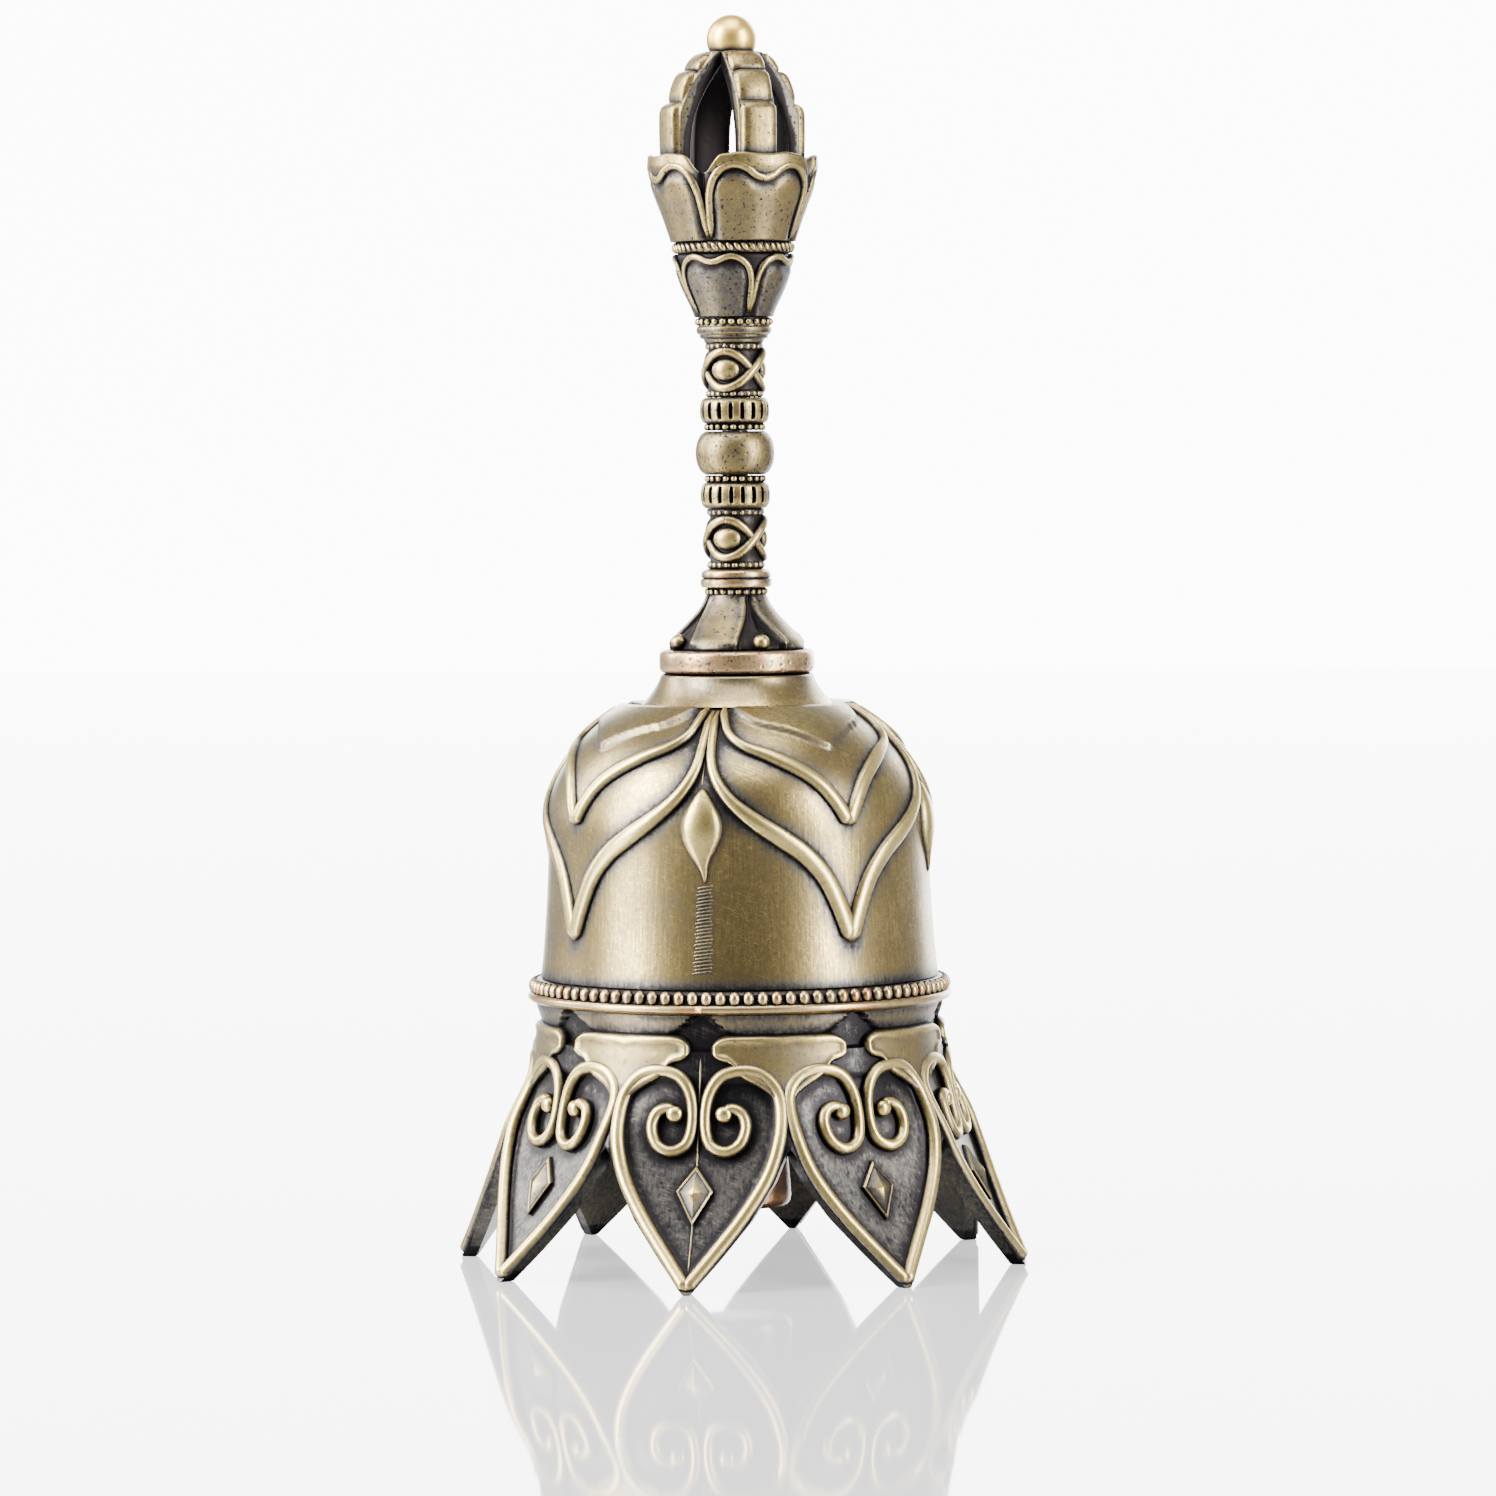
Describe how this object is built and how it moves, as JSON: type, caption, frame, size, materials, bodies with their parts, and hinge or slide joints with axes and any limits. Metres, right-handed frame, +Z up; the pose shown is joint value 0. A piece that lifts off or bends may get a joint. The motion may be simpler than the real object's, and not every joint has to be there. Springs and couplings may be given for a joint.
{
  "type": "hand bell",
  "caption": "Cast hand bell with a heart-petalled skirt, a free-swinging clapper and a prong-topped handle stacked on a tie rod; stands on its petal tips.",
  "frame": {"origin": "on the bell's axis, in the plane that the petal tips stand on", "axes": "+Z up along the axis, towards the finial ball; -Y through the middle of one heart petal"},
  "size_m": [0.0554, 0.0554, 0.12],
  "materials": {
    "bell_metal": "darkened, rubbed bright on its relief",
    "antique_brass": "antique, dark in its recesses",
    "flange_copper": "worn and pitted, coppery",
    "clapper_copper": "brown, dull",
    "aged_steel": "dull, oiled"
  },
  "bodies": {
    "bell": {"bell_body": "bell_metal", "base_flange": "flange_copper", "flared_base": "antique_brass", "lower_collar": "antique_brass", "lower_knot_sleeve": "antique_brass", "lower_fluted_ring": "antique_brass", "grip_ball": "antique_brass", "upper_fluted_ring": "antique_brass", "upper_knot_sleeve": "antique_brass", "upper_collar": "antique_brass", "lower_lotus_cup": "antique_brass", "rope_ring": "antique_brass", "upper_lotus_cup": "antique_brass", "vajra_prong_1": "antique_brass", "vajra_prong_2": "antique_brass", "vajra_prong_3": "antique_brass", "vajra_prong_4": "antique_brass", "finial_ball": "antique_brass", "tie_rod": "aged_steel", "crown_washer": "aged_steel", "crown_nut": "aged_steel", "hanger_eye": "aged_steel"},
    "link": {"hanger_ring": "aged_steel"},
    "clapper": {"clapper_shank": "aged_steel", "clapper_weight": "clapper_copper"}
  },
  "joints": [
    {"name": "link_swing", "type": "hinge", "parent": "bell", "child": "link", "pos_m": [0, 0, 0.045], "axis": [1, 0, 0], "range_deg": [-17, 17]},
    {"name": "clapper_swing", "type": "hinge", "parent": "link", "child": "clapper", "pos_m": [0, 0, 0.0426], "axis": [0, 1, 0], "range_deg": [-17, 17]}
  ]
}
